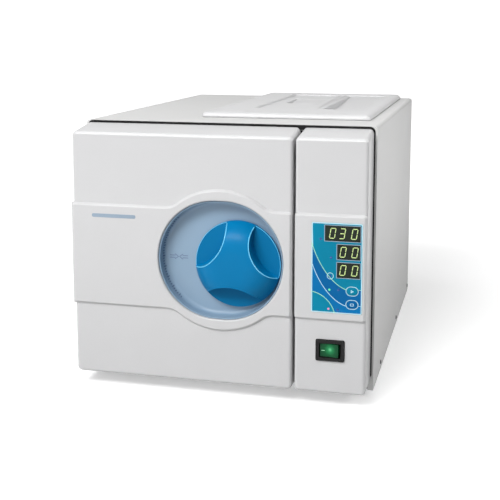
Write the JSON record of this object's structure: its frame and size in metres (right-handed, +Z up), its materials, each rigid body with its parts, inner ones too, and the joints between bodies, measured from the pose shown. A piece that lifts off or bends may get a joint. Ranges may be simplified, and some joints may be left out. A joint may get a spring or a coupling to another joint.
{
  "type": "benchtop autoclave",
  "caption": "Benchtop steam autoclave with a side-hinged door, a large locking knob, a control column with displays and keys, and a lift-off tank lid.",
  "frame": {"origin": "on the table under the middle of the machine", "axes": "+Z up, the door and the control column face -Y, +X towards the control column"},
  "size_m": [0.4472, 0.676, 0.407],
  "materials": {
    "case_paint": "fine textured powder coat",
    "cover_plastic": "satin moulded plastic",
    "lid_plastic": "satin moulded plastic",
    "sheet_steel": "zinc plated sheet",
    "frame_black": "black powder coat",
    "stainless": "brushed stainless steel",
    "turned_steel": "turned bright steel",
    "screw_steel": "blackened steel",
    "foot_rubber": "matt moulded rubber",
    "seal_silicone": "smooth silicone",
    "dial_plastic": "satin blue-grey plastic",
    "knob_blue": "glossy azure plastic",
    "membrane": "printed polyester film",
    "key_film": "embossed polyester film",
    "display_black": "dark filter window",
    "lamp": "coloured lamp lens",
    "switch_black": "moulded nylon",
    "rocker_green": "clear green rocker",
    "circuit_board": "solder-masked board",
    "brass": "cast and turned brass",
    "copper": "bright copper tube",
    "heater_mica": "mica band with steel jacket",
    "jacket_felt": "needled glass felt",
    "tank_plastic": "moulded polyethylene",
    "lever_red": "dipped plastic grip"
  },
  "bodies": {
    "case": {"outer_case": "case_paint", "base_plate": "sheet_steel", "rear_panel": "case_paint", "side_screws": "screw_steel", "rear_screws": "screw_steel", "rubber_feet": "foot_rubber", "front_frame": "frame_black", "column_cover": "cover_plastic", "control_membrane": "membrane", "three_digit_display": "display_black", "upper_two_digit_display": "display_black", "lower_two_digit_display": "display_black", "control_board": "circuit_board", "status_lamps": "lamp", "power_switch_body": "switch_black", "latch_keeper": "sheet_steel", "door_switch": "switch_black", "fixed_hinge_leaves": "turned_steel", "hinge_pins": "turned_steel", "chamber": "stainless", "chamber_flange": "stainless", "door_seal": "seal_silicone", "band_heaters": "heater_mica", "insulation_jacket": "jacket_felt", "chamber_cradles": "sheet_steel", "tray_rack": "stainless", "water_tank": "tank_plastic", "float_sensor": "tank_plastic", "condenser": "copper", "fan_frame": "switch_black", "fan_guard": "turned_steel", "water_pump": "switch_black", "solenoid_valves": "brass", "steam_pipes": "copper", "power_board": "circuit_board", "power_inlet": "switch_black", "fuse_holders": "switch_black", "safety_valve_body": "brass", "drain_tap_body": "brass"},
    "door": {"door_cover": "cover_plastic", "dial_plate": "dial_plastic", "door_backplate": "sheet_steel", "door_hinge_leaves": "turned_steel", "bolt_guides": "turned_steel", "pressure_disc": "stainless", "disc_stud": "turned_steel"},
    "knob": {"locking_knob": "knob_blue", "pinion_shaft": "turned_steel"},
    "bolt": {"latch_bolt": "turned_steel"},
    "tray_low": {"lower_tray": "stainless"},
    "tray_mid": {"middle_tray": "stainless"},
    "tray_high": {"upper_tray": "stainless"},
    "key_one": {"upper_key": "key_film"},
    "key_two": {"lower_key": "key_film"},
    "rocker": {"power_rocker": "rocker_green"},
    "lid": {"top_lid": "lid_plastic"},
    "fan": {"fan_rotor": "switch_black"},
    "tap_lever": {"drain_tap_lever": "lever_red"},
    "relief_ring": {"safety_valve_ring": "turned_steel"}
  },
  "joints": [
    {"name": "door_hinge", "type": "hinge", "parent": "case", "child": "door", "pos_m": [-0.213, -0.274, 0.2], "axis": [0, 0, -1], "range_deg": [0, 110]},
    {"name": "knob_turn", "type": "hinge", "parent": "door", "child": "knob", "pos_m": [0.03, -0.318, 0.199], "axis": [0, 1, 0], "range_deg": [0, 90]},
    {"name": "bolt_slide", "type": "slide", "parent": "door", "child": "bolt", "axis": [1, 0, 0], "range_m": [0, 0.02514]},
    {"name": "lower_tray_slide", "type": "slide", "parent": "case", "child": "tray_low", "axis": [0, -1, 0], "range_m": [0, 0.212]},
    {"name": "middle_tray_slide", "type": "slide", "parent": "case", "child": "tray_mid", "axis": [0, -1, 0], "range_m": [0, 0.145]},
    {"name": "upper_tray_slide", "type": "slide", "parent": "case", "child": "tray_high", "axis": [0, -1, 0], "range_m": [0, 0.078]},
    {"name": "upper_key_press", "type": "slide", "parent": "case", "child": "key_one", "axis": [0, 1, 0], "range_m": [0, 0.0006], "stiffness_N_per_m": 900},
    {"name": "lower_key_press", "type": "slide", "parent": "case", "child": "key_two", "axis": [0, 1, 0], "range_m": [0, 0.0006], "stiffness_N_per_m": 900},
    {"name": "power_rock", "type": "hinge", "parent": "case", "child": "rocker", "pos_m": [0.16725, -0.312, 0.08475], "axis": [0, 0, 1], "range_deg": [0, 12]},
    {"name": "lid_lift", "type": "slide", "parent": "case", "child": "lid", "axis": [0, 0, 1], "range_m": [0, 0.08]},
    {"name": "fan_spin", "type": "hinge", "parent": "case", "child": "fan", "pos_m": [0.158, 0.297, 0.276], "axis": [0, 1, 0], "continuous": true},
    {"name": "drain_tap_turn", "type": "hinge", "parent": "case", "child": "tap_lever", "pos_m": [0.06, 0.327, 0.057], "axis": [0, 0, 1], "range_deg": [0, 90]},
    {"name": "relief_pull", "type": "slide", "parent": "case", "child": "relief_ring", "axis": [0, 1, 0], "range_m": [0, 0.003], "stiffness_N_per_m": 1500}
  ],
  "couplings": [
    {"joint": "bolt_slide", "follows": "knob_turn", "m_per_rad": 0.016},
    {"joint": "lower_tray_slide", "follows": "door_hinge", "m_per_rad": 0.11},
    {"joint": "middle_tray_slide", "follows": "door_hinge", "m_per_rad": 0.075},
    {"joint": "upper_tray_slide", "follows": "door_hinge", "m_per_rad": 0.04}
  ]
}
